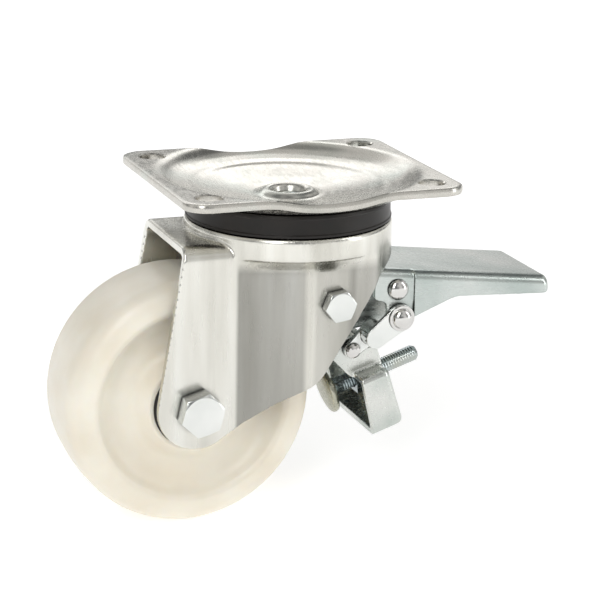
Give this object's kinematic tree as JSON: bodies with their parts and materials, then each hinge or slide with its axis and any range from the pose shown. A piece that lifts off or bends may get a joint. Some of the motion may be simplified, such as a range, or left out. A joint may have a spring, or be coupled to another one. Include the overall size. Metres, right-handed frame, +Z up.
{
  "type": "swivel caster with wheel brake",
  "caption": "Plate-mounted swivel caster: nylon wheel in a pressed steel fork, with a foot pedal that presses an adjustable brake screw on the tread.",
  "frame": {"origin": "on the swivel axis, in the plane of the top plate's upper face", "axes": "+Z up, out of the plate's face; +X towards the pedal end, with the wheel trailing to -X; Y along the wheel's axle"},
  "size_m": [0.1803, 0.085, 0.1218],
  "materials": {
    "zinc_plate": "satin zinc plated pressed steel",
    "bright_zinc": "bright zinc plated steel",
    "polished_steel": "polished steel",
    "dark_steel": "dull blue-grey zinc",
    "nylon": "moulded natural nylon, semi gloss",
    "black_plastic": "moulded black plastic, soft sheen"
  },
  "bodies": {
    "plate": {"top_plate": "zinc_plate", "king_pin": "polished_steel", "lower_race_cup": "zinc_plate"},
    "fork": {"swivel_fork": "bright_zinc", "dust_seal_ring": "black_plastic", "upper_ball_ring": "polished_steel", "lower_ball_ring": "polished_steel", "axle_bolt": "bright_zinc", "axle_nut": "bright_zinc", "axle_bush": "dark_steel", "brake_bracket": "zinc_plate", "bracket_screw_near": "bright_zinc", "bracket_screw_far": "bright_zinc", "bracket_nut_near": "bright_zinc", "bracket_nut_far": "bright_zinc", "pedal_pivot_pin": "polished_steel", "shoe_pivot_pin": "polished_steel"},
    "wheel": {"wheel": "nylon", "roller_bearing": "dark_steel", "bearing_cap_near": "black_plastic", "bearing_cap_far": "black_plastic"},
    "pedal": {"brake_pedal": "zinc_plate", "link_rivet_near": "polished_steel", "link_rivet_far": "polished_steel"},
    "links": {"link_near": "bright_zinc", "link_far": "bright_zinc"},
    "shoe": {"brake_shoe": "zinc_plate", "shoe_rivet_near": "polished_steel", "shoe_rivet_far": "polished_steel", "lock_nut": "dark_steel"},
    "screw": {"adjusting_screw": "dark_steel"}
  },
  "joints": [
    {"name": "swivel", "type": "hinge", "parent": "plate", "child": "fork", "pos_m": [0, 0, 0], "axis": [0, 0, 1], "continuous": true},
    {"name": "wheel_spin", "type": "hinge", "parent": "fork", "child": "wheel", "pos_m": [-0.0405, 0, -0.077], "axis": [0, 1, 0], "continuous": true},
    {"name": "pedal_press", "type": "hinge", "parent": "fork", "child": "pedal", "pos_m": [0.0348, 0, -0.0414], "axis": [0, 1, 0], "range_deg": [0, 26]},
    {"name": "shoe_swing", "type": "hinge", "parent": "fork", "child": "shoe", "pos_m": [0.0145, 0, -0.061], "axis": [0, 1, 0], "range_deg": [0, 26]},
    {"name": "link_turn", "type": "hinge", "parent": "pedal", "child": "links", "pos_m": [0.0357, 0, -0.0515], "axis": [0, 1, 0], "range_deg": [-37.5, 0]},
    {"name": "screw_adjust", "type": "slide", "parent": "shoe", "child": "screw", "axis": [0.9511, 0, 0.309], "range_m": [0, 0.006]}
  ],
  "couplings": [
    {"joint": "shoe_swing", "follows": "pedal_press", "ratio": 0.998},
    {"joint": "link_turn", "follows": "pedal_press", "ratio": -1.419}
  ]
}
